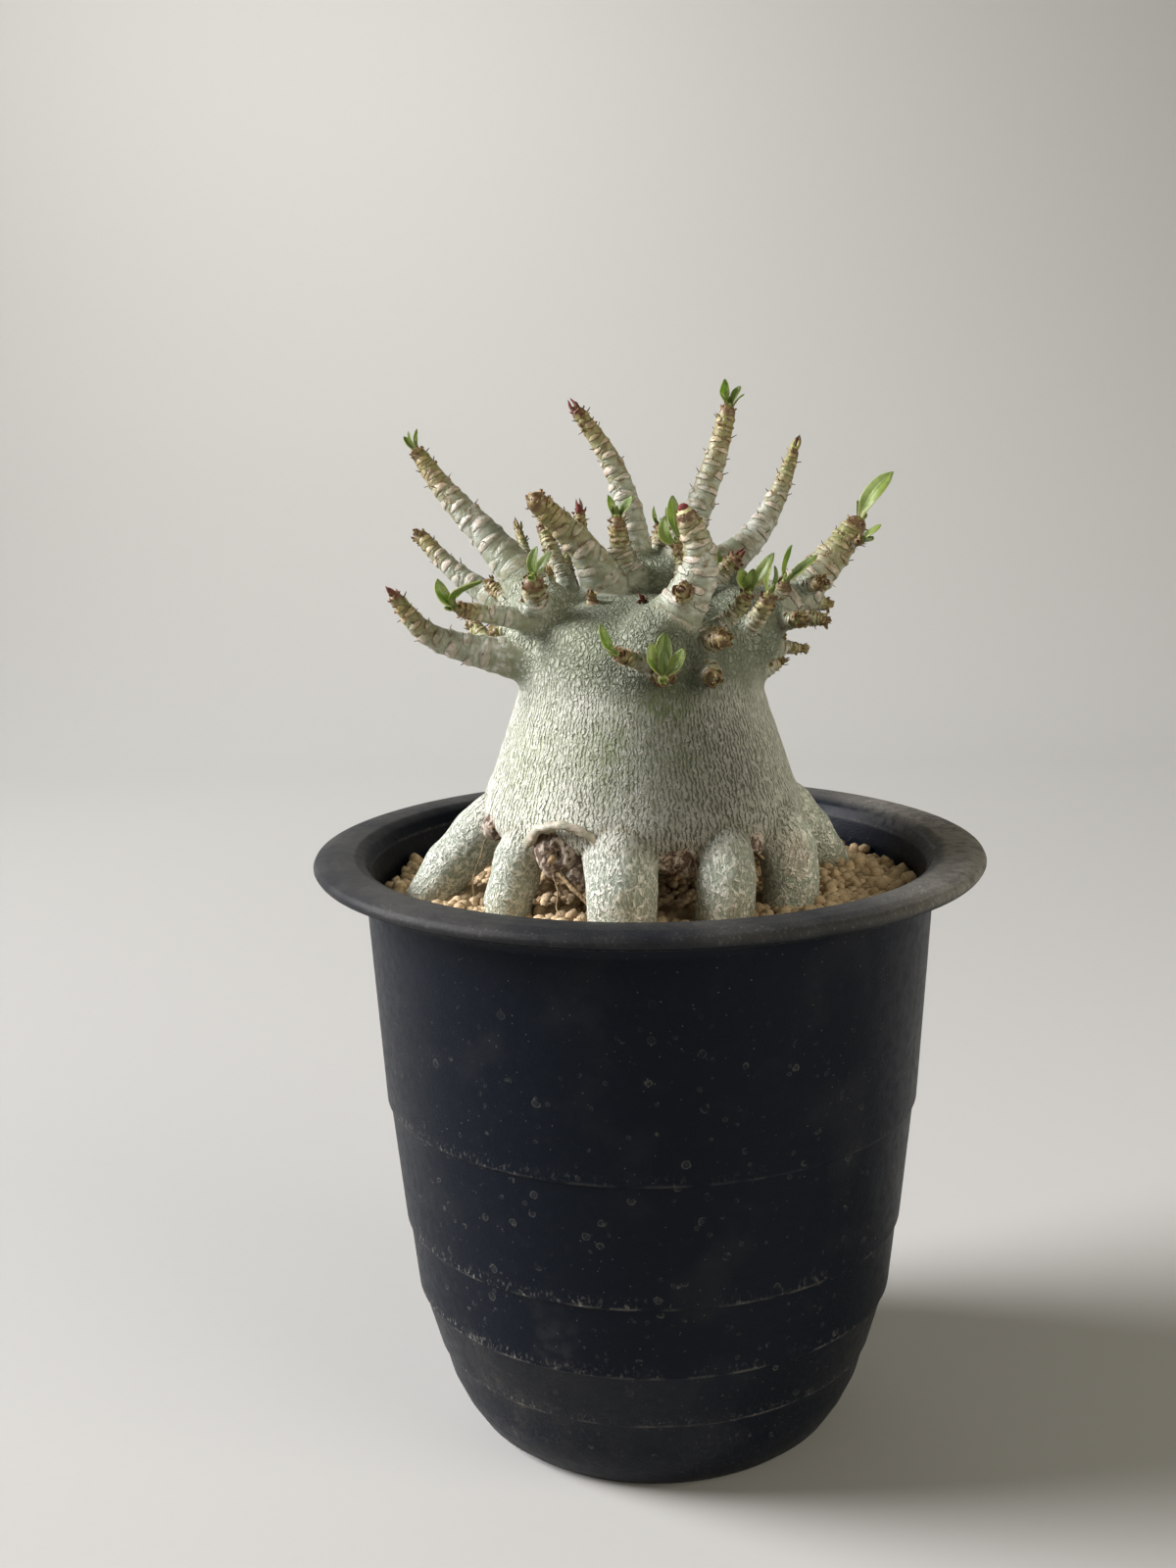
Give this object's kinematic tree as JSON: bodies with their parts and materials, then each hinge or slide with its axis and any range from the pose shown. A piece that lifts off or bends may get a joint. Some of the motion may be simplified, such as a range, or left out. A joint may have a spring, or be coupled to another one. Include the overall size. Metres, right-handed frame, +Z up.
{
  "type": "potted desert rose",
  "caption": "Potted arabicum desert rose: squat swollen stem base on thick arching roots, a crown of scarred finger-like branches with young leaves, in a black plastic nursery pot of grit.",
  "frame": {"origin": "centre of the pot's foot ring, on the surface that the pot stands on", "axes": "+Z up along the pot's axis; -Y towards the viewer of the picture; +X to the viewer's right"},
  "size_m": [0.18, 0.18, 0.2849],
  "materials": {
    "pot": "matt black moulded plastic, dusty, with water spots",
    "grit": "rounded matt tan grains",
    "bark": "pale silvery grey-green skin, satin, finely wrinkled",
    "leaf": "satin mid green"
  },
  "bodies": {
    "root": {"pot": "pot", "grit": "grit", "plant": "bark", "leaf_tuft_1": "leaf", "leaf_tuft_2": "leaf", "leaf_tuft_3": "leaf", "leaf_tuft_4": "leaf", "leaf_tuft_5": "leaf", "leaf_tuft_6": "leaf", "leaf_tuft_7": "leaf", "leaf_tuft_8": "leaf", "leaf_tuft_9": "leaf", "leaf_tuft_10": "leaf", "leaf_tuft_11": "leaf", "leaf_tuft_12": "leaf", "leaf_tuft_13": "leaf", "leaf_tuft_14": "leaf", "leaf_tuft_15": "leaf"}
  },
  "joints": []
}
